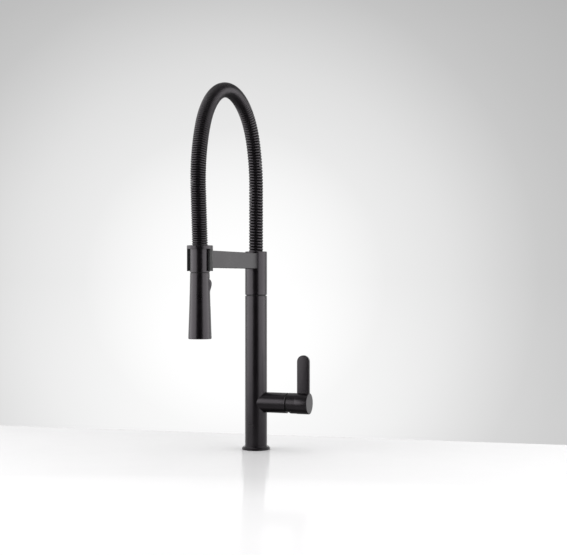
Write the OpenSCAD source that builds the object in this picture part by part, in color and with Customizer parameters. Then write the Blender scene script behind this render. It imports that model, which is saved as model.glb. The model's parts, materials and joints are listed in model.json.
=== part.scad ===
// Single-lever kitchen faucet with a spring-wrapped pull-down spray hose.
// The origin is the centre of the flange's underside, on the deck.
// +Z is up, the support arm and the sink lie along -Y, and the valve and handle along +X.

/* [Column] */
// Radius of the column and of the swivelling sleeve above it
column_r = 19.8; // [18:0.1:22]
// Height of the swivel seam above the deck
seam_z = 277; // [260:1:300]
// Height of the top of the sleeve above the deck
sleeve_top = 355.5; // [345:0.5:370]
// Radius of the round base flange
flange_r = 25.3; // [24.5:0.1:30]
// Thickness of the base flange
flange_h = 5.4; // [4:0.1:8]

/* [Arm and dock] */
// Distance from the column's axis to the spray head's axis
reach = 248; // [225:1:260]
// Height of the middle of the support arm
arm_z = 338.4; // [335:0.1:341]
// Height of the arm's bar
arm_h = 28; // [22:0.5:30]
// Thickness of the arm's bar
arm_t = 20; // [16:0.5:24]
// Outer radius of the dock
dock_r = 21; // [20.5:0.1:23]
// Half the angle of the dock clip's open front
clip_half_gap = 75; // [50:1:80]

/* [Spring arch] */
// Height of the highest point of the arch's centre line
arch_top = 626.5; // [610:0.5:640]
// Outer radius of the spring
spring_r = 12.8; // [11.5:0.1:12.9]
// Outer radius of the spray hose inside the spring
hose_r = 7.5; // [7:0.1:8]

/* [Spray head] */
// Radius of the docking collar
collar_r = 16; // [15:0.1:16]
// Height of the swivel seam between collar and spray head
head_seam_z = 316.2; // [315:0.1:317]
// Height of the bottom of the spray head
head_bottom = 210; // [205:0.5:215]
// Radius of the spray head at its lower end
head_r = 18.9; // [17.5:0.05:19]

/* [Valve and handle] */
// Height of the valve's axis above the deck
valve_z = 85; // [80:1:100]
// Radius of the valve stub on the column
stub_r = 18.2; // [18:0.1:19]
// Distance from the column's axis to the lever's outer face
handle_end = 101.6; // [100:0.1:106]
// Width of the lever's upright paddle
paddle_w = 22.7; // [16:0.1:24]
// Thickness of the paddle
paddle_t = 6; // [4:0.5:8]
// Height of the paddle's rounded tip above the deck
paddle_top = 170.7; // [150:0.1:190]

/* [Hidden] */

$fn = 64;
black = [0.11, 0.10, 0.11];
dark_plastic = [0.04, 0.04, 0.045];
brass = [0.72, 0.58, 0.32];
steel = [0.62, 0.62, 0.64];
ceramic = [0.86, 0.85, 0.82];
white_plastic = [0.80, 0.80, 0.78];
seal_rubber = [0.07, 0.07, 0.07];

over = 1;              // how far a cut runs past the face that it opens
seam_gap = 1.4;        // open joint that shows as a dark line round the column
head_gap = 0.9;        // open joint between the collar and the spray head
edge = 0.5;            // small bevel on turned edges
bore_r = 15.6;         // bore of the column
shank_r = 16;          // plain length of the mounting shank
thread_r = 15.8;       // threaded length of the shank, and the nut's bore
shank_bore_r = 12.5;
deck_t = 30;           // deck that the clamping parts are set for
shank_bottom = -62;
body_thread_top = 30;  // top of the thread that holds the shank in the column
post_r = 11;           // post that the spout turns on
running = 0.05;        // radial clearance of a running fit

stub_end = 60.4;       // outer end of the valve stub
handle_gap = 2.2;      // open joint between the stub and the lever's hub
valve_bore_r = 15;
pivot_x = 54;          // the lever's pivot
seat_x = 28;           // face that the cartridge seals on
cartridge_r = 14.5;
inlet_low = 40;        // underside of the water block, where the supply hoses screw in
inlet_y = 6.5;         // inlets, either side of the column's axis
tilt = 20;             // the lever's travel from shut to fully open
bonnet_r = 17.2;       // ball that the hub's hollow moves over
hub_r = 18.3;
lever_ring_r = 18.7;
lever_bore_r = 15;     // bore of the lever's ring, pressed on the hub
cap_r = 17.9;          // disc that closes the lever's ring
cap_t = 2.4;
hub_start = stub_end + handle_gap;
ring_start = handle_end - paddle_w;
stem_arm = 11.5;       // from the pivot to the ball that drives the moving disc
set_screw_x = pivot_x + 19;
port_y = 6;
port_z = -5;           // inlet ports, from the valve's axis
outlet_z = 6;          // outlet port, from the valve's axis

sleeve_bore_r = 16;
hub_top = 335;         // shoulder that the spring stands on
clip_r = collar_r + 0.3;
clip_bottom = 319;
clip_top = 354.4;
ring_top = 360;
ring_bore_r = 18.6;     // wide enough for the bowed spring to pass when the head is pulled
clip_lip_r = 19.7;      // spigot on the clip that the dock's ring is pressed on
spring_bore_r = 8.6;
ferrule_r = 8.3;       // ferrules that are crimped on the hose, inside the spring
hose_bore_r = 5;
hose_sides = 12;
barb_r = hose_bore_r * cos(180 / hose_sides) - running;
collar_top = 359;
spring_shelf = 352;    // shelf in the collar that the spring's end bears on
hose_front_z = 336;

toggle_turn = 20;      // the rocker faces +X, turned this far to the rear
toggle_z = 284;
toggle_pin_r = 11.2;   // distance of the rocker's pin from the head's axis
toggle_w = 12.6;
toggle_inner_r = 14.3; // back of the rocker, clear of the ears that hold its pin
toggle_low = 263.5;
toggle_high = 306;
window_gap = 0.4;      // round the rocker in the shell
plunger_z = 297;
plunger_start = 4.5;   // inner end of the diverter plunger, from the head's axis
plunger_length = 9.5;
plunger_r = 2;
flare = 1.25;          // exponent of the spray head's flare

// Turns and radii of the arcs that the arch's centre line is made of
rear_turn = 20.5;
rear_bend_r = 225;
top_turn = 136.5;
front_turn = 27.3;
front_bend_r = 222;
entry_bend_r = 120;
lean = rear_turn + top_turn + front_turn - 180;
arch_low = collar_top + 1;

// Across the arch, from the start of each arc to its end
function arc_run(r, h, turn) = r * (cos(h) - cos(h + turn));
function arc_rise(r, h, turn) = r * (sin(h + turn) - sin(h));
entry_run = entry_bend_r * (1 - cos(lean));
entry_drop = entry_bend_r * sin(lean);
// The top bend's radius closes the arch over the reach
top_heading = rear_turn + top_turn;
side_run = arc_run(rear_bend_r, 0, rear_turn) + arc_run(front_bend_r, top_heading, front_turn);
front_fall = arc_rise(front_bend_r, top_heading, front_turn);
lean_drop = arch_top + front_fall - arch_low - entry_drop;
top_bend_r = (reach + entry_run - side_run + lean_drop * tan(lean))
    / (cos(rear_turn) - cos(top_heading) + tan(lean) * (1 - sin(top_heading)));
rear_straight_top = arch_top - top_bend_r * (1 - sin(rear_turn)) - rear_bend_r * sin(rear_turn);

p0 = [0, rear_straight_top];
p1 = p0 + [arc_run(rear_bend_r, 0, rear_turn), arc_rise(rear_bend_r, 0, rear_turn)];
p2 = p1 + [arc_run(top_bend_r, rear_turn, top_turn), arc_rise(top_bend_r, rear_turn, top_turn)];
p4 = [reach + entry_run, arch_low + entry_drop];

// ---------- shared shapes ----------

module ring(r_out, r_in, low, high) {
    translate([0, 0, low]) difference() {
        cylinder(r = r_out, h = high - low);
        translate([0, 0, -over]) cylinder(r = r_in, h = high - low + 2 * over);
    }
}

// A turned rod or tube with bevelled ends
module bevelled_rod(r, low, high, bevel_low, bevel_high) {
    rotate_extrude() polygon([
        [0, low], [r - bevel_low, low], [r, low + bevel_low],
        [r, high - bevel_high], [r - bevel_high, high], [0, high]
    ]);
}

// Lays a shape that stands on Z along the valve's axis, from x = 0
module on_valve_axis() {
    translate([0, 0, valve_z]) rotate([0, 90, 0]) children();
}

module valve_rod(r, from, to) {
    on_valve_axis() translate([0, 0, from]) cylinder(r = r, h = to - from);
}

// Places a shape beside the valve's axis: across along Y, up along Z
module valve_drill(r, from, to, across, up) {
    translate([from, across, valve_z + up]) rotate([0, 90, 0]) cylinder(r = r, h = to - from);
}

module at_head() {
    translate([0, -reach, 0]) children();
}

// Local +X points from the head's axis out through the rocker
module at_toggle() {
    at_head() rotate([0, 0, toggle_turn]) children();
}

module o_ring(ring_r, cord_r, z) {
    translate([0, 0, z]) rotate_extrude() translate([ring_r, 0]) circle(r = cord_r, $fn = 24);
}

// ---------- deck mounting ----------

module base_flange() {
    color(black) difference() {
        rotate_extrude() polygon([
            [shank_r + 0.1, 0], [flange_r, 0], [flange_r, flange_h - 2.2],
            [flange_r - 0.4, flange_h - 1.7], [flange_r - 2.6, flange_h],
            [shank_r + 0.1, flange_h]
        ]);
        ring(flange_r - 1.3, column_r - 0.2, -over, 1.5);
    }
}

module deck_gasket() {
    color(seal_rubber) ring(flange_r - 1.3, column_r - 0.2, 0, 1.5);
}

module mounting_shank() {
    color(brass) difference() {
        union() {
            cylinder(r = thread_r, h = body_thread_top);
            translate([0, 0, -deck_t]) cylinder(r = shank_r, h = deck_t);
            translate([0, 0, shank_bottom]) cylinder(r = thread_r, h = -deck_t - shank_bottom);
        }
        translate([0, 0, shank_bottom - over])
            cylinder(r = shank_bore_r, h = body_thread_top - shank_bottom + 2 * over);
    }
}

module rubber_washer() {
    color(seal_rubber) ring(26, thread_r + 0.2, -deck_t - 3, -deck_t);
}

module metal_washer() {
    color(steel) ring(26, thread_r + 0.2, -deck_t - 5, -deck_t - 3);
}

nut_top = -deck_t - 8;
nut_bottom = nut_top - 11;
jack_x = 21.5;

module mounting_nut() {
    color(brass) difference() {
        union() {
            translate([0, 0, nut_bottom + 4]) cylinder(r = 25.5, h = nut_top - nut_bottom - 4);
            translate([0, 0, nut_bottom]) cylinder(r = 21, h = 5, $fn = 6);
        }
        translate([0, 0, nut_bottom - over])
            cylinder(r = thread_r, h = nut_top - nut_bottom + 2 * over);
        for (side = [-1, 1])
            translate([0, side * jack_x, nut_bottom - over])
                cylinder(r = 2.5, h = nut_top - nut_bottom + 2 * over);
    }
}

module jack_screws() {
    color(steel) for (side = [-1, 1]) translate([0, side * jack_x, 0]) difference() {
        union() {
            translate([0, 0, nut_bottom - 8]) cylinder(r = 2.5, h = nut_top - nut_bottom + 11);
            translate([0, 0, nut_bottom - 11]) cylinder(r = 4, h = 3, $fn = 6);
        }
        translate([-0.6, -5, nut_bottom - 12]) cube([1.2, 10, 2.2]);
    }
}

// ---------- column and water path ----------

module main_body() {
    top = seam_z - seam_gap / 2;
    color(black) difference() {
        bevelled_rod(column_r, flange_h, top, 0, edge);
        translate([0, 0, flange_h - over]) cylinder(r = thread_r, h = body_thread_top);
        translate([0, 0, body_thread_top]) cylinder(r = bore_r, h = top);
        valve_rod(valve_bore_r, 5, column_r + over);
    }
}

// Stub that the cartridge sits in. Its saddle end is brazed to the column.
module valve_housing() {
    color(black) difference() {
        on_valve_axis() bevelled_rod(stub_r, 0, stub_end, 0, edge);
        cylinder(r = column_r, h = 2 * valve_z);
        valve_rod(valve_bore_r, 5, stub_end + over);
    }
}

module waterway() {
    color(brass) difference() {
        union() {
            translate([0, 0, inlet_low]) cylinder(r = bore_r - 0.2, h = 90);
            valve_rod(14.8, 0, seat_x);
        }
        for (side = [-1, 1]) {
            translate([0, side * inlet_y, inlet_low - over]) cylinder(r = 5, h = 20 + over);
            translate([0, side * inlet_y, inlet_low + 15])
                cylinder(r = 2.2, h = valve_z + port_z - inlet_low - 15);
            valve_drill(2.2, 0, seat_x + over, side * port_y, port_z);
        }
        valve_drill(3, 0, seat_x + over, 0, outlet_z);
        translate([0, 0, valve_z + outlet_z]) cylinder(r = 3, h = 40);
        translate([0, 0, 118]) cylinder(r = 6, h = 12 + over);
    }
}

module riser_tube() {
    color(brass) ring(6, 5, 118, 262);
}

clip_groove_z = 292;

module swivel_post() {
    color(brass) difference() {
        union() {
            translate([0, 0, 250]) cylinder(r = bore_r, h = seam_z - seam_gap / 2 - 250);
            translate([0, 0, 260]) cylinder(r = post_r, h = 58);
        }
        ring(post_r + over, 9.5, clip_groove_z - 2.2, clip_groove_z + 2.2);
        ring(post_r + over, 9, 299.8, 302.2);
        ring(post_r + over, 9, 306.8, 309.2);
        translate([0, 0, 250 - over]) cylinder(r = 6, h = 12 + over);
        translate([0, 0, 255]) cylinder(r = 5, h = 70);
    }
}

module post_o_rings() {
    color(seal_rubber) {
        o_ring(10, 1, 301);
        o_ring(10, 1, 308);
    }
}

module swivel_washer() {
    half = seam_gap / 2;
    color(dark_plastic) ring(column_r - 2.2, post_r + 0.3, seam_z - half, seam_z + half - running);
}

// ---------- cartridge ----------

disc_x = pivot_x - 19;          // back of the fixed disc
disc_split = disc_x + 4;        // lapped faces between the two discs
carrier_x = disc_split + 4.7;   // back of the turning carrier
neck_x = carrier_x + 3.5;       // inside of the cartridge's front wall
body_front = pivot_x - 1;

module disc_ports(from, to) {
    for (side = [-1, 1]) valve_drill(2.2, from, to, side * port_y, port_z);
    valve_drill(3, from, to, 0, outlet_z);
}

module cartridge_seals() {
    color(seal_rubber) difference() {
        union() {
            for (side = [-1, 1]) valve_drill(4, seat_x, seat_x + 1.2, side * port_y, port_z);
            valve_drill(4.4, seat_x, seat_x + 1.2, 0, outlet_z);
        }
        disc_ports(seat_x - over, seat_x + 1.2 + over);
    }
}

module cartridge_body() {
    color(white_plastic) difference() {
        valve_rod(cartridge_r, seat_x + 1.2, body_front);
        disc_ports(seat_x, disc_x + over);
        valve_rod(12.5, disc_x, neck_x);
        valve_rod(8.9 + running, neck_x - over, body_front + over);
    }
}

module fixed_disc() {
    color(ceramic) difference() {
        valve_rod(12.3, disc_x, disc_split);
        disc_ports(disc_x - over, disc_split + over);
    }
}

module moving_disc() {
    color(ceramic) difference() {
        valve_drill(9.5, disc_split + running, carrier_x - 0.2, 0, -2);
        valve_drill(2.3, pivot_x - stem_arm - 2.2, carrier_x, 0, 0);
    }
}

module cartridge_carrier() {
    color(white_plastic) difference() {
        union() {
            valve_rod(12.2, carrier_x, neck_x - 0.2);
            valve_rod(8.9, carrier_x, pivot_x + 2);
        }
        translate([carrier_x - over, -3.6, valve_z - 6.5]) cube([20, 7.2, 13]);
        translate([pivot_x, 10, valve_z]) rotate([90, 0, 0]) cylinder(r = 1.5, h = 20, $fn = 32);
    }
}

module pivot_pin() {
    color(steel) translate([pivot_x, 8, valve_z]) rotate([90, 0, 0])
        cylinder(r = 1.5, h = 16, $fn = 32);
}

module cartridge_nut() {
    color(brass) difference() {
        valve_rod(15, body_front, pivot_x + 3);
        valve_rod(9.6, body_front - over, pivot_x + 3 + over);
        for (turn = [0 : 60 : 300]) translate([pivot_x + 1.4, 0, valve_z])
            rotate([turn, 0, 0]) translate([0, -1.2, 12.6]) cube([4, 2.4, 4]);
    }
}

module bonnet() {
    tip_r = 14;
    tip_x = pivot_x + sqrt(bonnet_r * bonnet_r - tip_r * tip_r);
    color(dark_plastic) difference() {
        union() {
            valve_rod(15, pivot_x + 3, stub_end + over);
            intersection() {
                translate([pivot_x, 0, valve_z]) rotate([0, 90, 0]) sphere(r = bonnet_r);
                valve_rod(bonnet_r + over, stub_end, tip_x);
            }
        }
        valve_rod(13.2, pivot_x, tip_x + over);
    }
}

// ---------- handle ----------

module lever_stem() {
    color(steel) difference() {
        union() {
            translate([pivot_x - stem_arm, 0, valve_z]) sphere(r = 2, $fn = 32);
            valve_rod(1.9, pivot_x - stem_arm, pivot_x);
            translate([pivot_x - 4.5, -3.2, valve_z - 4.2]) cube([10, 6.4, 8.4]);
            valve_rod(4.2, pivot_x + 4, ring_start - 2);
        }
        translate([pivot_x, 10, valve_z]) rotate([90, 0, 0])
            cylinder(r = 1.5 + running, h = 20, $fn = 32);
        translate([set_screw_x, 0, valve_z - 6]) cylinder(r = 2, h = 3, $fn = 24);
    }
}

// The underside is cut back so that the lever can tip down over the stub's end
module handle_hub() {
    color(black) difference() {
        union() {
            on_valve_axis() translate([0, 0, hub_start]) bevelled_rod(hub_r, 0,
                ring_start - hub_start, 0.3, 0);
            valve_rod(lever_bore_r, ring_start - over, handle_end - cap_t);
        }
        translate([pivot_x, 0, valve_z]) sphere(r = bonnet_r + 0.4);
        valve_rod(4.2, pivot_x, ring_start - 2);
        translate([pivot_x, 0, valve_z]) rotate([0, -tilt, 0])
            translate([stub_end - pivot_x + 0.3 - 40, -30, -60]) cube([40, 60, 60]);
        translate([set_screw_x, 0, valve_z - 30]) cylinder(r = 2, h = 30, $fn = 24);
    }
}

module handle_set_screw() {
    color(steel) translate([set_screw_x, 0, valve_z - 16]) difference() {
        cylinder(r = 2, h = 13, $fn = 24);
        translate([0, 0, -over]) cylinder(r = 1.1, h = 3, $fn = 6);
    }
}

module handle_lever() {
    tip_z = paddle_top - paddle_w / 2;
    mid_x = handle_end - paddle_w / 2;
    color(black) difference() {
        union() {
            on_valve_axis() translate([0, 0, ring_start])
                bevelled_rod(lever_ring_r, 0, paddle_w, 0.3, 0.5);
            translate([ring_start, -paddle_t / 2, valve_z])
                cube([paddle_w, paddle_t, tip_z - valve_z]);
            translate([mid_x, paddle_t / 2, tip_z]) rotate([90, 0, 0])
                cylinder(r = paddle_w / 2, h = paddle_t);
        }
        valve_rod(lever_bore_r, ring_start - over, handle_end - cap_t + over);
        valve_rod(cap_r, handle_end - cap_t, handle_end + over);
    }
}

module hub_cap() {
    color(black) on_valve_axis() translate([0, 0, handle_end - cap_t])
        bevelled_rod(cap_r, 0, cap_t + 0.1, 0, 0.3);
}

// ---------- swivelling spout ----------

module upper_sleeve() {
    low = seam_z + seam_gap / 2;
    color(black) difference() {
        bevelled_rod(column_r, low, sleeve_top, edge, 0.8);
        translate([0, 0, low - over]) cylinder(r = sleeve_bore_r, h = sleeve_top - 3 - low + over);
        translate([0, 0, hub_top]) cylinder(r = spring_r + 0.5, h = 30);
        arm_screw_holes(2.2);
        translate([0, 0, clip_groove_z]) rotate([-90, 0, 0]) cylinder(r = 2.5, h = 30, $fn = 24);
    }
}

module swivel_hub() {
    color(brass) difference() {
        union() {
            translate([0, 0, seam_z + 1.5])
                cylinder(r = sleeve_bore_r - 0.1, h = hub_top - seam_z - 1.5);
            translate([0, 0, hub_top]) cylinder(r = barb_r, h = 16);
        }
        translate([0, 0, seam_z]) cylinder(r = post_r + running, h = 43);
        translate([0, 0, seam_z]) cylinder(r = 3, h = 90);
        translate([0, 0, clip_groove_z]) rotate([-90, 0, 0]) cylinder(r = 2.5, h = 30, $fn = 24);
    }
}

// Its tip runs in the post's groove and keeps the spout down
module spout_set_screw() {
    color(steel) translate([0, 0, clip_groove_z]) rotate([-90, 0, 0]) difference() {
        union() {
            translate([0, 0, post_r + 0.6]) cylinder(r = 2.5, h = 7, $fn = 24);
            translate([0, 0, 9.8]) cylinder(r = 1.9, h = 3, $fn = 24);
        }
        translate([0, 0, post_r + 5]) cylinder(r = 1.25, h = 5, $fn = 6);
    }
}

module arm_screw_holes(r) {
    for (dz = [-7, 7]) translate([0, 0, arm_z + dz]) rotate([90, 0, 0])
        cylinder(r = r, h = 34, $fn = 24);
}

module support_arm() {
    bevel = 0.7;
    color(black) difference() {
        translate([0, 0, arm_z]) rotate([90, 0, 0]) linear_extrude(height = reach) polygon([
            [-arm_t / 2 + bevel, -arm_h / 2], [arm_t / 2 - bevel, -arm_h / 2],
            [arm_t / 2, -arm_h / 2 + bevel], [arm_t / 2, arm_h / 2 - bevel],
            [arm_t / 2 - bevel, arm_h / 2], [-arm_t / 2 + bevel, arm_h / 2],
            [-arm_t / 2, arm_h / 2 - bevel], [-arm_t / 2, -arm_h / 2 + bevel]
        ]);
        cylinder(r = column_r, h = 400);
        at_head() cylinder(r = dock_r, h = 400);
        arm_screw_holes(2.2);
        translate([0, -reach, arm_z]) rotate([-90, 0, 0]) cylinder(r = 2.2, h = 34, $fn = 24);
    }
}

module arm_screws() {
    color(steel) difference() {
        arm_screw_holes(2.2);
        translate([0, 0, arm_z - 20]) cylinder(r = sleeve_bore_r + 0.2, h = 40);
    }
}

module dock_clip() {
    reach_out = 2 * dock_r;
    color(dark_plastic) at_head() difference() {
        union() {
            ring(dock_r, clip_r, clip_bottom, clip_top);
            ring(clip_lip_r, ring_bore_r, clip_top - over, clip_top + 2.4);
        }
        translate([0, 0, clip_bottom - over]) linear_extrude(height = 60) polygon([
            [0, 0],
            reach_out * [-sin(clip_half_gap), -cos(clip_half_gap)],
            [-reach_out, -reach_out], [reach_out, -reach_out],
            reach_out * [sin(clip_half_gap), -cos(clip_half_gap)]
        ]);
        translate([0, 0, arm_z]) rotate([-90, 0, 0]) cylinder(r = 2.2, h = 40, $fn = 24);
        translate([0, 0, arm_z]) rotate([-90, 0, 0]) cylinder(r = 4.2, h = 18.8, $fn = 32);
    }
}

module dock_screw() {
    color(steel) translate([0, -reach, arm_z]) rotate([-90, 0, 0]) difference() {
        union() {
            translate([0, 0, clip_r + 0.5]) cylinder(r = 4.1, h = 2, $fn = 32);
            translate([0, 0, clip_r + 1]) cylinder(r = 2.2, h = 16, $fn = 24);
        }
        translate([0, 0, clip_r]) cylinder(r = 1.5, h = 1.6, $fn = 6);
    }
}

module dock_ring() {
    color(black) at_head() difference() {
        rotate_extrude() polygon([
            [ring_bore_r, clip_top], [dock_r, clip_top], [dock_r, ring_top - edge],
            [dock_r - edge, ring_top], [ring_bore_r + edge, ring_top],
            [ring_bore_r, ring_top - edge]
        ]);
        ring(clip_lip_r, ring_bore_r - over, clip_top - over, clip_top + 2.4);
    }
}

// ---------- spring and hose ----------

// Stations along the arch's centre line: [across, height, heading from straight up]
function bend_stations(from, heading, bend_r, turn, steps) = [
    for (i = [1 : steps]) let (a = turn * i / steps) [
        from[0] + arc_run(bend_r, heading, a), from[1] + arc_rise(bend_r, heading, a), heading + a
    ]
];
arch_stations = concat(
    [[0, rear_straight_top, 0]],
    bend_stations(p0, 0, rear_bend_r, rear_turn, 5),
    bend_stations(p1, rear_turn, top_bend_r, top_turn, 24),
    bend_stations(p2, top_heading, front_bend_r, front_turn, 6),
    [[p4[0], p4[1], 180 + lean], [reach, arch_low, 180]]
);

// A point on a round section of radius r, at the angle turn round the centre line
function on_section(st, r, turn) = [
    r * sin(turn),
    -st[0] - r * cos(turn) * cos(st[2]),
    st[1] - r * cos(turn) * sin(st[2])
];

// One tube swept along the whole arch, with flat ends at rear_low and front_low
module arch_tube(r_out, r_in, rear_low, front_low, sides) {
    route = concat([[0, rear_low, 0]], arch_stations, [[reach, front_low, 180]]);
    rings = len(route);
    last = (rings - 1) * sides;
    inner = rings * sides;
    points = [for (r = [r_out, r_in]) for (st = route) for (k = [0 : sides - 1])
        on_section(st, r, 360 * k / sides)];
    skin = [for (i = [0 : rings - 2]) for (k = [0 : sides - 1]) let (n = (k + 1) % sides)
        [i * sides + k, (i + 1) * sides + k, (i + 1) * sides + n, i * sides + n]];
    bore = [for (f = skin) [f[3] + inner, f[2] + inner, f[1] + inner, f[0] + inner]];
    ends = [for (k = [0 : sides - 1]) let (n = (k + 1) % sides) each [
        [k, n, n + inner, k + inner],
        [last + n, last + k, last + k + inner, last + n + inner]
    ]];
    polyhedron(points = points, faces = concat(skin, bore, ends));
}

module hose_spring() {
    color(black) arch_tube(spring_r, spring_bore_r, hub_top, spring_shelf, 16);
}

module spray_hose() {
    color(dark_plastic) arch_tube(hose_r, hose_bore_r, hub_top, hose_front_z, hose_sides);
}

module rear_ferrule() {
    color(steel) ring(ferrule_r, hose_r, hub_top + 1, hub_top + 15);
}

module front_ferrule() {
    color(steel) at_head() ring(ferrule_r, hose_r, hose_front_z + 1, hose_front_z + 14);
}

// ---------- docking collar ----------

collar_bottom = head_seam_z + head_gap / 2;
collar_floor = collar_bottom + 3;
spigot_r = 8;
spigot_low = 304;
clip_z = 308.6;

module docking_collar() {
    color(black) at_head() difference() {
        bevelled_rod(collar_r, collar_bottom, collar_top, 0.3, edge);
        translate([0, 0, collar_bottom - over]) cylinder(r = spigot_r + running, h = 6);
        translate([0, 0, collar_floor]) cylinder(r = 13.5, h = spring_shelf - 2 - collar_floor);
        translate([0, 0, collar_floor]) cylinder(r = 9.2, h = 60);
        translate([0, 0, spring_shelf]) cylinder(r = spring_r + 0.5, h = 20);
    }
}

module hose_connector() {
    color(brass) at_head() difference() {
        union() {
            translate([0, 0, spigot_low]) cylinder(r = spigot_r, h = collar_floor - spigot_low);
            translate([0, 0, collar_floor]) cylinder(r = 12, h = hose_front_z - collar_floor, $fn = 6);
            translate([0, 0, hose_front_z]) cylinder(r = barb_r, h = 14);
        }
        translate([0, 0, spigot_low - over]) cylinder(r = 5.5, h = 12 + over);
        translate([0, 0, spigot_low]) cylinder(r = 3, h = 60);
        ring(spigot_r + over, 6.9, clip_z - 1, clip_z + 1);
        ring(spigot_r + over, 6.6, 311.8, 313.6);
    }
}

module connector_o_ring() {
    color(seal_rubber) at_head() o_ring(7.3, 0.7, 312.7);
}

module check_valve() {
    color(white_plastic) at_head() difference() {
        translate([0, 0, spigot_low + 0.5]) cylinder(r = 5.5, h = 10);
        for (turn = [0 : 90 : 270]) rotate([0, 0, turn]) translate([3, 0, spigot_low])
            cylinder(r = 1.2, h = 12, $fn = 24);
    }
}

// ---------- spray head ----------

shell_top = head_seam_z - head_gap / 2;
shell_wall = 1.8;
core_low = 226;                // underside of the body inside the shell
core_top = shell_top - 0.5;

function shell_r(z) =
    collar_r - 0.2 + (head_r - collar_r + 0.2) * pow((shell_top - z) / (shell_top - head_bottom), flare);

module wand_shell() {
    steps = 10;
    heights = [for (i = [0 : steps]) head_bottom + 0.8 + (shell_top - 1.1 - head_bottom) * i / steps];
    outline = concat(
        [[shell_r(head_bottom) - 0.8, head_bottom]],
        [for (z = heights) [shell_r(z), z]],
        [[shell_r(shell_top) - 0.3, shell_top]],
        [[shell_r(shell_top) - shell_wall, shell_top]],
        [for (i = [steps : -1 : 0]) [shell_r(heights[i]) - shell_wall, heights[i]]],
        [[shell_r(head_bottom) - shell_wall, head_bottom]]
    );
    color(black) difference() {
        at_head() rotate_extrude() polygon(outline);
        at_toggle() translate([10, -toggle_w / 2 - window_gap, toggle_low - window_gap])
            cube([12, toggle_w + 2 * window_gap, toggle_high - toggle_low + window_gap + 0.8]);
    }
}

core_rim_h = 6;
core_rim_r = shell_r(core_low + core_rim_h) - shell_wall - 0.2;

module wand_core() {
    color(dark_plastic) difference() {
        union() {
            at_head() {
                translate([0, 0, core_low]) cylinder(r = 9.8, h = core_top - core_low);
                translate([0, 0, core_top - 8.4]) cylinder(r = 13.7, h = 8.4);
                translate([0, 0, core_low]) cylinder(r = core_rim_r, h = core_rim_h);
            }
            at_toggle() for (side = [-1, 1])
                translate([8, side * 4.3 - 1, toggle_z - 3]) cube([4.5, 2, 6]);
        }
        at_head() {
            translate([0, 0, spigot_low - 1]) cylinder(r = spigot_r + running, h = 20);
            translate([0, 0, core_low - over]) cylinder(r = 3.5, h = core_top - core_low);
            ring(11, spigot_r - over, clip_z - 0.8, clip_z + 0.8);
        }
        at_toggle() {
            translate([toggle_pin_r, 12, toggle_z]) rotate([90, 0, 0]) cylinder(r = 1, h = 24, $fn = 24);
            translate([0, 0, plunger_z]) rotate([0, 90, 0])
                cylinder(r = plunger_r, h = 20, $fn = 32);
        }
    }
}

module head_washer() {
    color(dark_plastic) at_head()
        ring(shell_r(shell_top) - 1.2, spigot_r + 0.3, shell_top, collar_bottom - running);
}

module retaining_clip() {
    color(steel) at_head() difference() {
        ring(10.8, 7.05, clip_z - 0.7, clip_z + 0.7);
        translate([-3, -20, clip_z - 3]) cube([6, 20, 6]);
    }
}

module toggle_pin() {
    color(steel) at_toggle() translate([toggle_pin_r, 5.2, toggle_z]) rotate([90, 0, 0])
        cylinder(r = 1, h = 10.4, $fn = 24);
}

// A rocker, flush with the shell apart from its upper end, which stands proud until it is pressed
rocker_swell = [
    [toggle_low, -0.6], [toggle_low + 0.6, -0.1], [284, -0.1], [289, 0.6], [294, 1.9],
    [297.5, 2.8], [299.5, 3.1], [301.5, 2.9], [303.8, 1.9], [305.4, 0.4], [toggle_high, -0.6]
];

module toggle_button() {
    outline = concat(
        [[toggle_inner_r, toggle_low]],
        [for (at = rocker_swell) [shell_r(at[0]) + at[1], at[0]]],
        [[toggle_inner_r, toggle_high]]
    );
    color(black) difference() {
        union() {
            intersection() {
                at_head() rotate_extrude() polygon(outline);
                at_toggle() translate([0, -toggle_w / 2, toggle_low - over])
                    cube([30, toggle_w, toggle_high - toggle_low + 2 * over]);
            }
            at_toggle() translate([10.45, -3, toggle_z - 1.9]) cube([4.1, 6, 3.8]);
        }
        at_toggle() translate([toggle_pin_r, 12, toggle_z]) rotate([90, 0, 0])
            cylinder(r = 1 + running, h = 24, $fn = 24);
    }
}

module diverter_plunger() {
    color(brass) at_toggle() translate([plunger_start, 0, plunger_z]) rotate([0, 90, 0])
        cylinder(r = plunger_r - running, h = plunger_length, $fn = 32);
}

aerator_r = 6.4;
face_low = head_bottom + 1.3;
face_r = head_r - shell_wall - 0.3;
nozzle_rows = [[8.4, 12], [11, 16], [13.6, 20]];

module each_nozzle() {
    for (row = nozzle_rows) for (i = [0 : row[1] - 1])
        rotate([0, 0, 360 * i / row[1]]) translate([row[0], 0, 0]) children();
}

module spray_face() {
    color(dark_plastic) at_head() difference() {
        union() {
            translate([0, 0, face_low]) cylinder(r = face_r, h = 3);
            translate([0, 0, face_low + 2]) cylinder(r = 15.3, h = core_low - face_low - 2);
        }
        translate([0, 0, face_low - over]) cylinder(r = aerator_r + 0.1, h = 20);
        translate([0, 0, face_low + 2.5]) cylinder(r = 14.6, h = 8);
        translate([0, 0, face_low - over]) each_nozzle() cylinder(r = 0.9, h = 5, $fn = 16);
    }
}

module nozzles() {
    color(seal_rubber) at_head() {
        ring(14.5, aerator_r + 0.6, face_low + 2.5, face_low + 4.5);
        translate([0, 0, face_low - 0.8]) each_nozzle() cylinder(r = 0.8, h = 4, $fn = 16);
    }
}

module aerator() {
    color(white_plastic) at_head() difference() {
        translate([0, 0, face_low + 0.3]) cylinder(r = aerator_r, h = 10);
        for (x = [-3.6 : 1.8 : 3.6]) for (y = [-3.6 : 1.8 : 3.6])
            translate([x - 0.6, y - 0.6, face_low - over]) cube([1.2, 1.2, 5]);
    }
}

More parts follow.
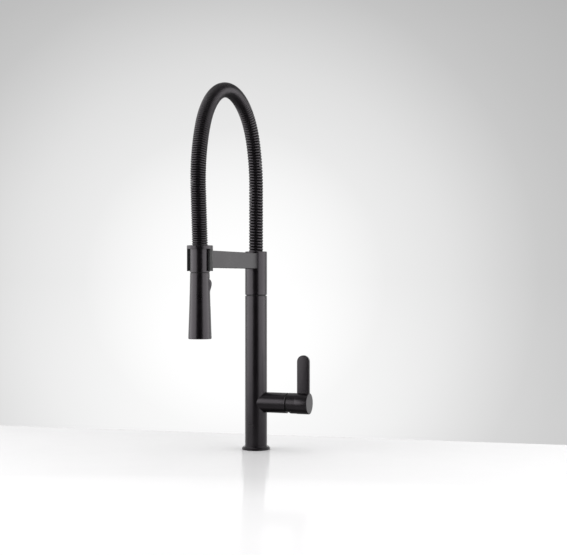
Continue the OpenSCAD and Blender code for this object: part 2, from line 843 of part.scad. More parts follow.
base_flange();
deck_gasket();
main_body();
valve_housing();
mounting_shank();
rubber_washer();
metal_washer();
mounting_nut();
jack_screws();
waterway();
riser_tube();
swivel_post();
post_o_rings();
swivel_washer();
cartridge_body();
cartridge_seals();
fixed_disc();
cartridge_nut();
bonnet();
cartridge_carrier();
pivot_pin();
moving_disc();
lever_stem();
handle_hub();
handle_lever();
hub_cap();
handle_set_screw();
upper_sleeve();
swivel_hub();
spout_set_screw();
support_arm();
arm_screws();
dock_clip();
dock_ring();
dock_screw();
rear_ferrule();
hose_spring();
spray_hose();
docking_collar();
front_ferrule();
hose_connector();
connector_o_ring();
check_valve();
wand_shell();
wand_core();
head_washer();
retaining_clip();
spray_face();
nozzles();
aerator();
toggle_pin();
toggle_button();
diverter_plunger();
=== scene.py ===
import json
import math

import bmesh
import bpy
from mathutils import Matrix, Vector


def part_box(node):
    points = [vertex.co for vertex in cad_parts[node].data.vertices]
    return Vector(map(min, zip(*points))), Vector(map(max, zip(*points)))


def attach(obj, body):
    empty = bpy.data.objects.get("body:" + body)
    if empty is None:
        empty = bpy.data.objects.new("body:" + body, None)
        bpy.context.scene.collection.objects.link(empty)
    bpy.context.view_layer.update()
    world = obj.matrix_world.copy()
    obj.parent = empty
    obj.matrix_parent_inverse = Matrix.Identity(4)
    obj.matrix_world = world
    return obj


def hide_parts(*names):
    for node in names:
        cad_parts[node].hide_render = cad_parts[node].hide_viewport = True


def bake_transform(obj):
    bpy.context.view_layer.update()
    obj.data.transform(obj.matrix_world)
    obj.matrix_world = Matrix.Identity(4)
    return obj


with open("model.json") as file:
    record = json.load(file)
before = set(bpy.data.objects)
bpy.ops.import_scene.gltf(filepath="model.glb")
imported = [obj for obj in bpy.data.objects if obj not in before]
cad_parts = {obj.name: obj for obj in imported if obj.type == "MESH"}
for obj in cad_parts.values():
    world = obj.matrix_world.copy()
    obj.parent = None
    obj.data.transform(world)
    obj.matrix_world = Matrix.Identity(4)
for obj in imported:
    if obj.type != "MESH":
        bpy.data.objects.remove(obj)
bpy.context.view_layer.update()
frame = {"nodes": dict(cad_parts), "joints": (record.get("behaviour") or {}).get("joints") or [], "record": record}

MM = 0.001
FULL_TURN = 2 * math.pi


ARCH_ABOVE_COLLAR = 1 * MM     # where the arch ends and the straight run down the collar starts
SPRING_IN_COLLAR = 7 * MM
HOSE_BELOW_FERRULE = 1 * MM


# ---------- places taken from the frame ----------

def centre_of(node):
    low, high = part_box(node)
    return (low + high) / 2


def joint(name):
    return next(j for j in frame["joints"] if j["name"] == name)


head_axis = centre_of("dock_ring")
reach = -head_axis.y
spring_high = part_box("hose_spring")[1]
hose_low, hose_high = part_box("spray_hose")
spring_r = spring_high.x
hose_r = hose_high.x
arch_top = spring_high.z - spring_r
arch_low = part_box("docking_collar")[1].z + ARCH_ABOVE_COLLAR
spring_front_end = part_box("docking_collar")[1].z - SPRING_IN_COLLAR
hose_front_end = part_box("front_ferrule")[0].z - HOSE_BELOW_FERRULE
valve_z = joint("flow_tilt")["pos_m"][2]
lever_low, lever_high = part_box("handle_lever")
washer_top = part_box("rubber_washer")[1].z
collar_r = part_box("docking_collar")[1].x
shell_low, shell_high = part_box("wand_shell")
rocker_low, rocker_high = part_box("toggle_button")


# ---------- camera ----------

CAMERA_BEARING = 21.31     # where the camera stands, degrees round from straight in front
CAMERA_TURN = 20           # where it looks, degrees round from straight ahead
CAMERA_DISTANCE = 2.1606
CAMERA_HEIGHT = 0.3062
CAMERA_LENS = 76.19
CAMERA_SHIFT_UP = 0.0026


def make_camera():
    data = bpy.data.cameras.new("camera")
    data.lens = CAMERA_LENS
    data.shift_y = CAMERA_SHIFT_UP
    camera = bpy.data.objects.new("camera", data)
    bpy.context.scene.collection.objects.link(camera)
    bearing = math.radians(CAMERA_BEARING)
    camera.location = (
        CAMERA_DISTANCE * math.sin(bearing),
        -CAMERA_DISTANCE * math.cos(bearing),
        CAMERA_HEIGHT,
    )
    camera.rotation_euler = (math.radians(90), 0, math.radians(CAMERA_TURN))
    bpy.context.scene.camera = camera


# ---------- mesh helpers ----------

def make_object(name, points, faces, smooth_angle=35):
    mesh = bpy.data.meshes.new(name)
    mesh.from_pydata([tuple(p) for p in points], [], faces)
    tidy_mesh(mesh, smooth_angle)
    piece = bpy.data.objects.new(name, mesh)
    bpy.context.scene.collection.objects.link(piece)
    return piece


def tidy_mesh(mesh, smooth_angle):
    work = bmesh.new()
    work.from_mesh(mesh)
    bmesh.ops.recalc_face_normals(work, faces=work.faces)
    work.to_mesh(mesh)
    work.free()
    mesh.shade_smooth()
    mesh.set_sharp_from_angle(angle=math.radians(smooth_angle))


def skin_rings(rings):
    """Faces that join each ring of points to the next."""
    count = len(rings[0])
    faces = []
    for i in range(len(rings) - 1):
        for k in range(count):
            n = (k + 1) % count
            faces.append((i * count + k, i * count + n, (i + 1) * count + n, (i + 1) * count + k))
    return faces


def sweep_rings(name, rings, smooth_angle=35):
    """A closed tube through the rings, with its two ends capped."""
    count = len(rings[0])
    points = [p for ring in rings for p in ring]
    faces = skin_rings(rings)
    faces.append(tuple(range(count)))
    faces.append(tuple(len(points) - count + k for k in range(count)))
    return make_object(name, points, faces, smooth_angle)


def apply_boolean(piece, other, operation):
    modifier = piece.modifiers.new("join", "BOOLEAN")
    modifier.object = other
    modifier.operation = operation
    modifier.solver = "EXACT"
    bpy.context.view_layer.update()
    evaluated = piece.evaluated_get(bpy.context.evaluated_depsgraph_get())
    mesh = bpy.data.meshes.new_from_object(evaluated)
    piece.modifiers.clear()
    piece.data = mesh
    bpy.data.objects.remove(other)


# ---------- arch ----------

REAR_TURN = math.radians(20.5)
REAR_BEND_R = 225 * MM
TOP_TURN = math.radians(136.5)
FRONT_TURN = math.radians(27.3)
FRONT_BEND_R = 222 * MM
ENTRY_BEND_R = 120 * MM
LEAN = REAR_TURN + TOP_TURN + FRONT_TURN - math.pi


def arc_run(radius, heading, turn):
    return radius * (math.cos(heading) - math.cos(heading + turn))


def arc_rise(radius, heading, turn):
    return radius * (math.sin(heading + turn) - math.sin(heading))


def arch_segments():
    """The centre line from the sleeve over to the collar, as pairs of length and bend radius or None."""
    top_heading = REAR_TURN + TOP_TURN
    side_run = arc_run(REAR_BEND_R, 0, REAR_TURN) + arc_run(FRONT_BEND_R, top_heading, FRONT_TURN)
    entry_run = ENTRY_BEND_R * (1 - math.cos(LEAN))
    entry_drop = ENTRY_BEND_R * math.sin(LEAN)
    lean_drop = arch_top + arc_rise(FRONT_BEND_R, top_heading, FRONT_TURN) - arch_low - entry_drop
    top_r = (reach + entry_run - side_run + lean_drop * math.tan(LEAN)) / (
        math.cos(REAR_TURN) - math.cos(top_heading) + math.tan(LEAN) * (1 - math.sin(top_heading))
    )
    straight_top = arch_top - top_r * (1 - math.sin(REAR_TURN)) - REAR_BEND_R * math.sin(REAR_TURN)
    front_bend_end = arch_top - top_r * (1 - math.sin(top_heading)) + arc_rise(
        FRONT_BEND_R, top_heading, FRONT_TURN
    )
    leaning = (front_bend_end - arch_low - entry_drop) / math.cos(LEAN)
    return [
        (straight_top - hose_low.z, None),
        (REAR_BEND_R * REAR_TURN, REAR_BEND_R),
        (top_r * TOP_TURN, top_r),
        (FRONT_BEND_R * FRONT_TURN, FRONT_BEND_R),
        (leaning, None),
        (ENTRY_BEND_R * LEAN, -ENTRY_BEND_R),
        (arch_low - hose_front_end, None),
    ]


SEGMENTS = arch_segments()
HOSE_LENGTH = sum(length for length, _ in SEGMENTS)
SPRING_LENGTH = HOSE_LENGTH - (spring_front_end - hose_front_end)


def arch_at(distance):
    """Distance across, height and heading from straight up, at a distance along the centre line."""
    across, height, heading = 0.0, hose_low.z, 0.0
    for length, radius in SEGMENTS:
        step = min(distance, length)
        if radius is None:
            across += step * math.sin(heading)
            height += step * math.cos(heading)
        else:
            turn = step / radius
            across += arc_run(radius, heading, turn)
            height += arc_rise(radius, heading, turn)
            heading += turn
        distance -= step
        if distance <= 0:
            break
    return across, height, heading


def apex_distance():
    straight, rear = SEGMENTS[0][0], SEGMENTS[1][0]
    top_r = SEGMENTS[2][1]
    return straight + rear + top_r * (math.pi / 2 - REAR_TURN)


def outward(heading, angle):
    """Unit vector out from the centre line at that angle round it."""
    return Vector((
        math.sin(angle),
        -math.cos(angle) * math.cos(heading),
        -math.cos(angle) * math.sin(heading),
    ))


def arch_point(distance, radius=0.0, angle=0.0):
    across, height, heading = arch_at(distance)
    return Vector((0, -across, height)) + radius * outward(heading, angle)


WIRE_R = 1.8 * MM      # half the wire's thickness, out from the hose
WIRE_SHARE = 0.485     # half its width along the hose, as a share of the pitch
REAR_PITCH = 5.2 * MM
FRONT_PITCH = 3.75 * MM
STEPS_PER_TURN = 22
WIRE_SIDES = 10


def pitch_at(share):
    """The coils stand further apart over the column than over the spray head."""
    ease = min(max((share - 0.35) / 0.3, 0), 1)
    ease = ease * ease * (3 - 2 * ease)
    return REAR_PITCH + (FRONT_PITCH - REAR_PITCH) * ease


def spring_stations():
    """[distance, angle] all along the wire, which winds left-handed."""
    stations, distance, angle = [], 0.0, 0.0
    while distance < SPRING_LENGTH:
        stations.append((distance, angle))
        distance += pitch_at(distance / SPRING_LENGTH) / STEPS_PER_TURN
        angle -= FULL_TURN / STEPS_PER_TURN
    return stations


def wire_ring(station, coil_r):
    """Points round the wire, which is wider than thick where the coils stand apart."""
    distance, angle = station
    pitch = pitch_at(distance / SPRING_LENGTH)
    step = FULL_TURN / STEPS_PER_TURN / 4
    rise = pitch * step / FULL_TURN
    centre = arch_point(distance, coil_r, angle)
    tangent = arch_point(distance + rise, coil_r, angle - step) - centre
    out = outward(arch_at(distance)[2], angle)
    side = tangent.cross(out).normalized()
    return [
        centre + WIRE_R * math.cos(a) * out + WIRE_SHARE * pitch * math.sin(a) * side
        for a in (FULL_TURN * k / WIRE_SIDES for k in range(WIRE_SIDES))
    ]


def split_at_apex(items, distance_of):
    apex = apex_distance()
    last_rear = max(i for i, item in enumerate(items) if distance_of(item) <= apex)
    return items[:last_rear + 1], items[last_rear:]


def ride_arch(rear, front, node, slot_name):
    """The rear half stays with the spout. The front half keeps its place in the world."""
    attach(rear, "spout")
    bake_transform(front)
    for piece in (rear, front):
        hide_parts(node)


def make_spring():
    stations = spring_stations()
    coil_r = spring_r - WIRE_R
    halves = split_at_apex(stations, lambda station: station[0])
    names = ("hose_spring_rear", "hose_spring_front")
    rear, front = (
        sweep_rings(name, [wire_ring(s, coil_r) for s in half], smooth_angle=60)
        for name, half in zip(names, halves)
    )
    ride_arch(rear, front, "hose_spring", "spring_black")
    return [rear, front]


HOSE_SIDES = 32
HOSE_RING_STEP = 4 * MM


def make_hose():
    count = round(HOSE_LENGTH / HOSE_RING_STEP)
    distances = [HOSE_LENGTH * i / count for i in range(count + 1)]
    halves = split_at_apex(distances, lambda distance: distance)
    pieces = []
    for name, half in zip(("spray_hose_rear", "spray_hose_front"), halves):
        rings = [
            [arch_point(d, hose_r, FULL_TURN * k / HOSE_SIDES) for k in range(HOSE_SIDES)]
            for d in half
        ]
        piece = sweep_rings(name, rings, smooth_angle=60)
        map_hose(piece, half)
        pieces.append(piece)
    ride_arch(*pieces, "spray_hose", "black_hose")
    return pieces


def map_hose(piece, distances):
    """UVs in metres: round the hose and along it, which the braid follows."""
    layer = piece.data.uv_layers.new(name="along_hose")
    for polygon in piece.data.polygons:
        columns = [piece.data.loops[i].vertex_index % HOSE_SIDES for i in polygon.loop_indices]
        wraps = max(columns) - min(columns) > HOSE_SIDES / 2
        for loop_index, column in zip(polygon.loop_indices, columns):
            row = piece.data.loops[loop_index].vertex_index // HOSE_SIDES
            turn = column / HOSE_SIDES + (1 if wraps and column == 0 else 0)
            layer.data[loop_index].uv = (turn * FULL_TURN * hose_r, distances[row])


# ---------- lever ----------

def rounded_plate_rings(half_width, tip_centre, foot_z, middle_x, thickness, edge_r):
    """Outlines of a plate with a round tip, from one face to the other, with a rounded edge between."""
    corner_steps, tip_steps = 5, 32
    levels = []
    for i in range(corner_steps + 1):
        a = math.pi / 2 * i / corner_steps
        levels.append((-thickness / 2 + edge_r * (1 - math.cos(a)), edge_r * (1 - math.sin(a))))
    levels += [(-y, inset) for y, inset in reversed(levels)]
    rings = []
    for y, inset in levels:
        r = half_width - inset
        ring = [Vector((middle_x + r, y, foot_z)), Vector((middle_x - r, y, foot_z))]
        ring += [
            Vector((middle_x - r * math.cos(a), y, tip_centre + r * math.sin(a)))
            for a in (math.pi * k / tip_steps for k in range(tip_steps + 1))
        ]
        rings.append(ring)
    return rings


def lathe_rings_along_x(profile, axis_z, steps=128):
    """Rings of a turned shape on the valve's axis, from [x, radius] pairs. The profile closes on itself."""
    rings = []
    for k in range(steps):
        a = FULL_TURN * k / steps
        rings.append([Vector((x, r * math.sin(a), axis_z + r * math.cos(a))) for x, r in profile])
    return rings


def closed_lathe(name, profile, axis_z):
    rings = lathe_rings_along_x(profile, axis_z)
    points = [p for ring in rings for p in ring]
    faces = skin_rings(rings + [rings[0]])
    faces = [tuple(i % len(points) for i in face) for face in faces]
    return make_object(name, points, faces)


def rounded_step(x, r, size, side_x, side_r, steps=4):
    """Points of a rounded corner at (x, r). side_x and side_r say which way the material lies."""
    return [
        (x + side_x * size * (1 - math.sin(a)), r + side_r * size * (1 - math.cos(a)))
        for a in (math.pi / 2 * k / steps for k in range(steps + 1))
    ]


RING_BORE = 15 * MM
RING_CORNER = 0.5 * MM
CAP_SEAT = 2.4 * MM        # how deep the cap sits in the ring
CAP_BORE = 17.9 * MM
PADDLE_THICKNESS = 6 * MM
PADDLE_EDGE = 0.8 * MM
PADDLE_FOOT = 16 * MM      # its hidden lower end, above the valve's axis


def make_lever():
    ring_r = (lever_high.y - lever_low.y) / 2
    ring_start, ring_end = lever_low.x, lever_high.x
    cap_face = ring_end - CAP_SEAT
    profile = [(ring_start, RING_BORE)]
    profile += reversed(rounded_step(ring_start, ring_r, RING_CORNER, 1, -1))
    profile += rounded_step(ring_end, ring_r, RING_CORNER, -1, -1)
    profile += [(ring_end, CAP_BORE), (cap_face, CAP_BORE), (cap_face, RING_BORE)]
    lever = closed_lathe("lever_casting", profile, valve_z)
    half_width = (ring_end - ring_start) / 2
    paddle = sweep_rings("paddle", rounded_plate_rings(
        half_width, lever_high.z - half_width, valve_z + PADDLE_FOOT, ring_start + half_width,
        PADDLE_THICKNESS, PADDLE_EDGE,
    ))
    apply_boolean(lever, paddle, "UNION")
    tidy_mesh(lever.data, 30)
    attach(lever, "handle")
    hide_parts("handle_lever")
    return [lever]


# ---------- rocker on the spray head ----------

ROCKER_TURN = math.radians(20)   # it faces +X, turned this far to the rear
ROCKER_WIDTH = 12.6 * MM
ROCKER_BACK_R = 14.3 * MM
ROCKER_RISE_START = 284 * MM     # height at which the thumb bump starts to rise
ROCKER_PEAK = 299 * MM
ROCKER_BUMP = 3.1 * MM
ROCKER_FLUSH = 0.1 * MM          # how far the flat part lies below the shell
SHELL_FLARE = 1.25


def shell_radius(z):
    """Outer radius of the spray head at a height."""
    top_r = collar_r - 0.2 * MM
    share = (shell_high.z - z) / (shell_high.z - shell_low.z)
    return top_r + (shell_high.x - top_r) * max(share, 0) ** SHELL_FLARE


def rocker_swell(z):
    """Height of the thumb bump as a share of its peak: a long rise and a short round fall."""
    if z < ROCKER_RISE_START:
        return 0
    if z < ROCKER_PEAK:
        s = (z - ROCKER_RISE_START) / (ROCKER_PEAK - ROCKER_RISE_START)
        return s * s * (3 - 2 * s)
    s = (z - ROCKER_PEAK) / (rocker_high.z - ROCKER_PEAK)
    return 1 - s * s


def rounded_end(distance, size):
    """How far a rounded edge drops at a distance in from its end."""
    if distance >= size:
        return 0
    return size - math.sqrt(size * size - (size - distance) ** 2)


def rocker_ring(z):
    columns, edge_r = 28, 0.6 * MM
    end_drop = rounded_end(min(z - rocker_low.z, rocker_high.z - z), edge_r)
    outer = []
    for i in range(columns + 1):
        u = -math.cos(math.pi * i / columns)
        across = u * ROCKER_WIDTH / 2
        side_drop = rounded_end(ROCKER_WIDTH / 2 * (1 - abs(u)), edge_r)
        bump = ROCKER_BUMP * rocker_swell(z) * (1 - u ** 4)
        r = shell_radius(z) - ROCKER_FLUSH - end_drop - side_drop + bump
        outer.append((math.sqrt(r * r - across * across), across))
    inner_x = math.sqrt(ROCKER_BACK_R ** 2 - (ROCKER_WIDTH / 2) ** 2)
    section = outer + [(inner_x, ROCKER_WIDTH / 2), (ROCKER_BACK_R, 0), (inner_x, -ROCKER_WIDTH / 2)]
    cos_turn, sin_turn = math.cos(ROCKER_TURN), math.sin(ROCKER_TURN)
    return [
        Vector((x * cos_turn - y * sin_turn, x * sin_turn + y * cos_turn - reach, z)) for x, y in section
    ]


def make_rocker():
    rows = 90
    heights = [
        rocker_low.z + (rocker_high.z - rocker_low.z) * (1 - math.cos(math.pi * i / rows)) / 2
        for i in range(rows + 1)
    ]
    rocker = sweep_rings("rocker_cover", [rocker_ring(z) for z in heights], smooth_angle=40)
    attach(rocker, "toggle")
    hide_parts("toggle_button")
    return [rocker]


# ---------- turned pieces carried over from CAD ----------

TURNED_SLACK = math.cos(math.radians(12))
SIDE_FACE = 0.9            # a normal more level than this belongs to the side
TURNED_NODES = ("main_body", "upper_sleeve", "wand_shell")


def round_normals(node):
    """The turned faces of an upright piece shade as true rounds, whichever way their triangles run."""
    mesh = frame["nodes"][node].data
    on_the_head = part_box(node)[0].y < -reach / 2
    axis = Vector((0, -reach if on_the_head else 0, 0))
    normals = [corner.vector.copy() for corner in mesh.corner_normals]
    for polygon in mesh.polygons:
        for i in polygon.loop_indices:
            out = mesh.vertices[mesh.loops[i].vertex_index].co - axis
            out.z = 0
            level = math.hypot(normals[i].x, normals[i].y)
            if out.length < 1 * MM or level < SIDE_FACE:
                continue
            out.normalize()
            facing = polygon.normal.dot(out)
            if abs(facing) > TURNED_SLACK:
                out *= math.copysign(level, facing)
                normals[i] = Vector((out.x, out.y, normals[i].z))
    mesh.normals_split_custom_set(normals)


# ---------- materials ----------

def new_material(name, colour, roughness, metallic=0.0, specular=0.5):
    material = bpy.data.materials.new(name)
    material.use_nodes = True
    shader = material.node_tree.nodes["Principled BSDF"]
    shader.inputs["Base Color"].default_value = (*colour, 1)
    shader.inputs["Roughness"].default_value = roughness
    shader.inputs["Metallic"].default_value = metallic
    shader.inputs["Specular IOR Level"].default_value = specular
    return material, shader


def add_coords(tree, stretch=(1, 1, 1), output="Object"):
    coords = tree.nodes.new("ShaderNodeTexCoord")
    mapping = tree.nodes.new("ShaderNodeMapping")
    mapping.inputs["Scale"].default_value = stretch
    tree.links.new(coords.outputs[output], mapping.inputs["Vector"])
    return mapping.outputs["Vector"]


def add_noise(tree, vector, scale, detail=4):
    noise = tree.nodes.new("ShaderNodeTexNoise")
    noise.inputs["Scale"].default_value = scale
    noise.inputs["Detail"].default_value = detail
    tree.links.new(vector, noise.inputs["Vector"])
    return noise.outputs["Fac"]


COLOUR_SPAN = (0.35, 0.65)       # the part of a noise's range over which a colour or gloss changes
ROUGHNESS_SPAN = (0.3, 0.7)


def vary_colour(tree, shader, factor, first, second):
    ramp = tree.nodes.new("ShaderNodeValToRGB")
    for element, position, colour in zip(ramp.color_ramp.elements, COLOUR_SPAN, (first, second)):
        element.position = position
        element.color = (*colour, 1)
    tree.links.new(factor, ramp.inputs["Fac"])
    tree.links.new(ramp.outputs["Color"], shader.inputs["Base Color"])


def vary_roughness(tree, shader, factor, low, high):
    spread = tree.nodes.new("ShaderNodeMapRange")
    spread.inputs["From Min"].default_value = ROUGHNESS_SPAN[0]
    spread.inputs["From Max"].default_value = ROUGHNESS_SPAN[1]
    spread.inputs["To Min"].default_value = low
    spread.inputs["To Max"].default_value = high
    tree.links.new(factor, spread.inputs["Value"])
    tree.links.new(spread.outputs["Result"], shader.inputs["Roughness"])


def add_bump(tree, shader, height, distance, strength=1.0):
    bump = tree.nodes.new("ShaderNodeBump")
    bump.inputs["Strength"].default_value = strength
    bump.inputs["Distance"].default_value = distance
    tree.links.new(height, bump.inputs["Height"])
    previous = shader.inputs["Normal"].links
    if previous:
        tree.links.new(previous[0].from_socket, bump.inputs["Normal"])
    tree.links.new(bump.outputs["Normal"], shader.inputs["Normal"])


COATING_TINT = (1.0, 0.93, 1.0, 1)


def powder_coat(name, dark, light, low, high, grain=900):
    """A sprayed satin coating: fine orange peel, slow changes of gloss and a warm violet sheen."""
    material, shader = new_material(name, dark, low)
    shader.inputs["Specular Tint"].default_value = COATING_TINT
    tree = material.node_tree
    vector = add_coords(tree)
    vary_colour(tree, shader, add_noise(tree, vector, 45), dark, light)
    vary_roughness(tree, shader, add_noise(tree, vector, 28, 6), low, high)
    add_bump(tree, shader, add_noise(tree, vector, grain, 3), 0.00002)
    return material


def moulded(name, dark, light, low, high, grain=1600):
    """Moulded plastic or rubber: a finer, flatter grain than the coating."""
    material, shader = new_material(name, dark, low, specular=0.4)
    tree = material.node_tree
    vector = add_coords(tree)
    vary_colour(tree, shader, add_noise(tree, vector, 90), dark, light)
    vary_roughness(tree, shader, add_noise(tree, vector, 60, 5), low, high)
    add_bump(tree, shader, add_noise(tree, vector, grain, 2), 0.000015)
    return material


def turned_metal(name, dark, light, low, high):
    """Bare turned metal: fine tool marks across the axis over a cloudy tone."""
    material, shader = new_material(name, dark, low, metallic=1.0)
    tree = material.node_tree
    vary_colour(tree, shader, add_noise(tree, add_coords(tree), 60), dark, light)
    marks = add_noise(tree, add_coords(tree, (20, 20, 2600)), 1, 3)
    vary_roughness(tree, shader, marks, low, high)
    add_bump(tree, shader, marks, 0.00001)
    return material


def braided_sleeve(name, dark, light):
    """Two sets of strands crossing on the slant, from waves along the hose's own UVs."""
    material, shader = new_material(name, dark, 0.6)
    tree = material.node_tree
    heights = []
    for slant in (1, -1):
        mapping = tree.nodes.new("ShaderNodeMapping")
        mapping.inputs["Rotation"].default_value = (0, 0, slant * math.radians(50))
        coords = tree.nodes.new("ShaderNodeTexCoord")
        tree.links.new(coords.outputs["UV"], mapping.inputs["Vector"])
        wave = tree.nodes.new("ShaderNodeTexWave")
        wave.inputs["Scale"].default_value = 260
        tree.links.new(mapping.outputs["Vector"], wave.inputs["Vector"])
        heights.append(wave.outputs["Fac"])
    top = tree.nodes.new("ShaderNodeMath")
    top.operation = "MAXIMUM"
    for i, height in enumerate(heights):
        tree.links.new(height, top.inputs[i])
    vary_colour(tree, shader, top.outputs["Value"], dark, light)
    vary_roughness(tree, shader, top.outputs["Value"], 0.7, 0.5)
    add_bump(tree, shader, top.outputs["Value"], 0.0003)
    return material


def make_materials():
    return {
        "matte_black": powder_coat(
            "matte_black", (0.002, 0.0015, 0.002), (0.004, 0.003, 0.004), 0.27, 0.32
        ),
        "spring_black": powder_coat(
            "spring_black", (0.003, 0.0025, 0.003), (0.005, 0.004, 0.005), 0.26, 0.32, 1400
        ),
        "black_hose": braided_sleeve("black_hose", (0.004, 0.004, 0.0045), (0.012, 0.012, 0.013)),
        "black_plastic": moulded(
            "black_plastic", (0.008, 0.008, 0.0085), (0.011, 0.011, 0.0115), 0.42, 0.52
        ),
        "seal_rubber": moulded("seal_rubber", (0.018, 0.018, 0.018), (0.026, 0.025, 0.025), 0.65, 0.8),
        "brass": turned_metal("brass", (0.60, 0.43, 0.20), (0.74, 0.56, 0.29), 0.24, 0.42),
        "steel": turned_metal("steel", (0.50, 0.50, 0.52), (0.64, 0.64, 0.66), 0.22, 0.40),
        "ceramic": moulded("ceramic", (0.80, 0.79, 0.76), (0.86, 0.85, 0.82), 0.12, 0.2),
        "white_plastic": moulded("white_plastic", (0.72, 0.72, 0.70), (0.80, 0.80, 0.78), 0.4, 0.5),
    }


def dress(piece, material):
    piece.data.materials.clear()
    piece.data.materials.append(material)


def dress_frame(materials):
    for part in frame["record"]["subparts"]:
        piece = frame["nodes"][part["node"]]
        for slot in piece.material_slots:
            slot.material = materials[part["material_slot"]]


# ---------- floor, backdrop and lights ----------

SLAB_BACK_LEFT = Vector((-0.451, 0.162, 0))     # two points of the slab's back edge
SLAB_BACK_RIGHT = Vector((0.312, 0.229, 0))
SLAB_HALF_LENGTH = 1.6
SLAB_DEPTH = 2.1
SLAB_CORNER = 2 * MM
SLAB_COLOUR = (0.90, 0.895, 0.90)
SLAB_IOR = 1.03                                 # low, for a faint mirror image


def slab_ring(inset, z):
    """The slab's outline, drawn in by the inset, at a height."""
    along = (SLAB_BACK_RIGHT - SLAB_BACK_LEFT).normalized()
    towards = Vector((along.y, -along.x, 0))
    middle = (SLAB_BACK_LEFT + SLAB_BACK_RIGHT) / 2 + Vector((0, 0, z))
    half = along * (SLAB_HALF_LENGTH - inset)
    back, front = towards * inset, towards * (SLAB_DEPTH - inset)
    return [middle - half + back, middle + half + back, middle + half + front, middle - half + front]


def make_floor():
    bevel = SLAB_CORNER * 0.3
    floor = sweep_rings("floor", [
        slab_ring(0, washer_top),
        slab_ring(0, -SLAB_CORNER),
        slab_ring(bevel, -bevel),
        slab_ring(SLAB_CORNER, 0),
    ])
    material, shader = new_material("floor", SLAB_COLOUR, 0.1)
    shader.inputs["IOR"].default_value = SLAB_IOR
    tree = material.node_tree
    vary_roughness(tree, shader, add_noise(tree, add_coords(tree), 12), 0.09, 0.12)
    dress(floor, material)
    floor.visible_glossy = False


def facing_ramp(tree, facing, stops):
    """Brightness by direction, from [share, brightness] stops."""
    ramp = tree.nodes.new("ShaderNodeValToRGB")
    elements = ramp.color_ramp.elements
    while len(elements) < len(stops):
        elements.new(0.5)
    for element, (position, value) in zip(elements, stops):
        element.position = position
        element.color = (value, value, value, 1)
    tree.links.new(facing, ramp.inputs["Fac"])
    return ramp.outputs["Color"]


def world_dot(tree, direction, against):
    """How far a world direction points against a fixed one, from 0 to 1."""
    dot = tree.nodes.new("ShaderNodeVectorMath")
    dot.operation = "DOT_PRODUCT"
    dot.inputs[1].default_value = against
    tree.links.new(direction, dot.inputs[0])
    half = tree.nodes.new("ShaderNodeMath")
    half.operation = "MULTIPLY_ADD"
    half.inputs[1].default_value = 0.5
    half.inputs[2].default_value = 0.5
    tree.links.new(dot.outputs["Value"], half.inputs[0])
    return half.outputs["Value"]


def multiply(tree, first, second):
    node = tree.nodes.new("ShaderNodeVectorMath")
    node.operation = "MULTIPLY"
    tree.links.new(first, node.inputs[0])
    tree.links.new(second, node.inputs[1])
    return node.outputs["Vector"]


GLOW_TURN = 22.3           # bearing of the brightest part of the backdrop

# Stops are [share, brightness]. A share of 0.5 is level or sideways, 1 is straight up or dead ahead.
SEEN_BY_HEIGHT = [
    (0.0, 1.14), (0.44, 1.14), (0.50, 1.02), (0.54, 1.0), (0.60, 0.95), (0.65, 0.85), (1.0, 0.6),
]
SEEN_BY_GLOW = [
    (0.0, 0.4), (0.97, 0.5), (0.983, 0.575), (0.9866, 0.63), (0.9903, 0.73), (0.9962, 0.836), (0.999, 0.97),
    (1.0, 1.0),
]
LIGHT_BY_FRONT = [(0.0, 1.2), (0.13, 1.2), (0.3, 0.8), (0.7, 0.25), (0.88, 0.02), (1.0, 0.0)]
LIGHT_BY_HEIGHT = [
    (0.0, 0.15), (0.38, 0.3), (0.45, 0.9), (0.52, 1.0), (0.62, 0.8), (0.70, 0.5), (0.90, 0.55), (0.97, 1.3),
    (1.0, 1.6),
]


def level_direction(bearing, sign):
    """A level unit vector on a bearing from the front (sign 1) or from the back (sign -1)."""
    turn = math.radians(bearing)
    return (sign * math.sin(turn), -sign * math.cos(turn), 0)


def world_brightness(tree):
    """Two patterns: the room that lights and is mirrored, and the backdrop that the camera sees."""
    direction = tree.nodes.new("ShaderNodeTexCoord").outputs["Generated"]
    height = world_dot(tree, direction, (0, 0, 1))
    front = world_dot(tree, direction, level_direction(CAMERA_TURN, 1))
    glow = world_dot(tree, direction, level_direction(GLOW_TURN, -1))
    lighting = multiply(
        tree, facing_ramp(tree, front, LIGHT_BY_FRONT), facing_ramp(tree, height, LIGHT_BY_HEIGHT)
    )
    seen = multiply(tree, facing_ramp(tree, height, SEEN_BY_HEIGHT), facing_ramp(tree, glow, SEEN_BY_GLOW))
    return lighting, seen


def make_world():
    """A pale backdrop to the eye. To the surfaces, a bright room behind and a dark one before them."""
    world = bpy.data.worlds.new("studio")
    bpy.context.scene.world = world
    world.use_nodes = True
    tree = world.node_tree
    tree.nodes.clear()
    mix = tree.nodes.new("ShaderNodeMixShader")
    for socket, colour in zip((1, 2), world_brightness(tree)):
        background = tree.nodes.new("ShaderNodeBackground")
        tree.links.new(colour, background.inputs["Color"])
        tree.links.new(background.outputs["Background"], mix.inputs[socket])
    path = tree.nodes.new("ShaderNodeLightPath")
    tree.links.new(path.outputs["Is Camera Ray"], mix.inputs["Fac"])
    output = tree.nodes.new("ShaderNodeOutputWorld")
    tree.links.new(mix.outputs["Shader"], output.inputs["Surface"])


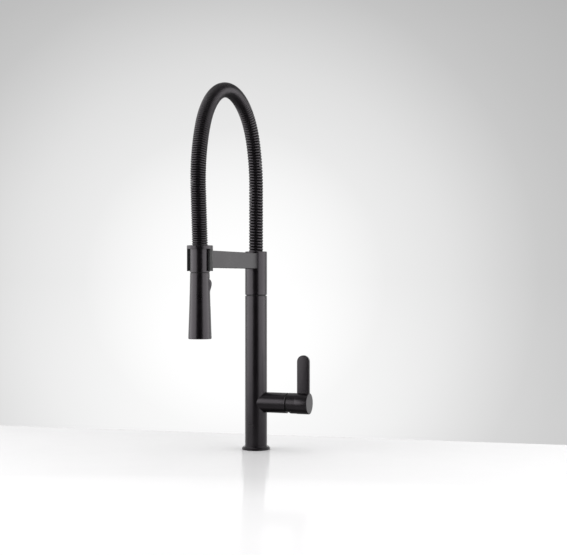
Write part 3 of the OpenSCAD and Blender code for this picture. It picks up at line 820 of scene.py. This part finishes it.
PANEL_DISTANCE = 1.3
PANEL_CENTRE_Z = 0.6
PANEL_HEIGHT = 1.25
FLOOR_LIGHT_SIZE = 1.6
FLOOR_LIGHT_HEIGHT = 1.9
FLOOR_LIGHT_RADIANCE = 1.0
BOUNCE_CARD_SIZE = 0.34
BOUNCE_CARD_RADIANCE = 0.35
BOUNCE_CARD_PLACE = (0.06, -0.22, 1 * MM)


def area_light(name, width, height, radiance, place):
    data = bpy.data.lights.new(name, "AREA")
    data.shape = "RECTANGLE"
    data.size = width
    data.size_y = height
    data.energy = radiance * math.pi * width * height
    light = bpy.data.objects.new(name, data)
    bpy.context.scene.collection.objects.link(light)
    light.location = place
    light.visible_camera = False
    return light


def make_panel(name, bearing, width, radiance):
    """A large soft panel that faces the faucet. Its bearing is degrees round from the camera's side."""
    middle = Vector((0, -reach / 3, PANEL_CENTRE_Z))
    away = PANEL_DISTANCE * Vector(level_direction(CAMERA_TURN + bearing, 1))
    panel = area_light(name, width, PANEL_HEIGHT, radiance, middle + away)
    panel.rotation_euler = away.to_track_quat("Z", "Y").to_euler()


def make_floor_light():
    """Light from overhead for the floor alone, as it is kept out of reflections."""
    light = area_light(
        "floor_light", FLOOR_LIGHT_SIZE, FLOOR_LIGHT_SIZE, FLOOR_LIGHT_RADIANCE,
        (0, -reach, FLOOR_LIGHT_HEIGHT),
    )
    light.visible_glossy = False


def make_bounce_card():
    """Stands for the pale floor in the reflections of the parts just above it."""
    card = area_light(
        "bounce_card", BOUNCE_CARD_SIZE, BOUNCE_CARD_SIZE, BOUNCE_CARD_RADIANCE, BOUNCE_CARD_PLACE
    )
    card.rotation_euler = (math.pi, 0, 0)
    card.visible_diffuse = False


def make_lights():
    make_panel("panel_left", bearing=-72, width=2.1, radiance=2.6)
    make_panel("panel_right", bearing=69, width=2.2, radiance=2.45)
    make_floor_light()
    make_bounce_card()


# ---------- build ----------

make_camera()
materials = make_materials()
dress_frame(materials)
for made in make_spring():
    dress(made, materials["spring_black"])
for made in make_hose():
    dress(made, materials["black_hose"])
for made in make_lever() + make_rocker():
    dress(made, materials["matte_black"])
for turned in TURNED_NODES:
    round_normals(turned)
make_floor()
make_world()
make_lights()
bpy.context.scene.view_settings.view_transform = "Standard"
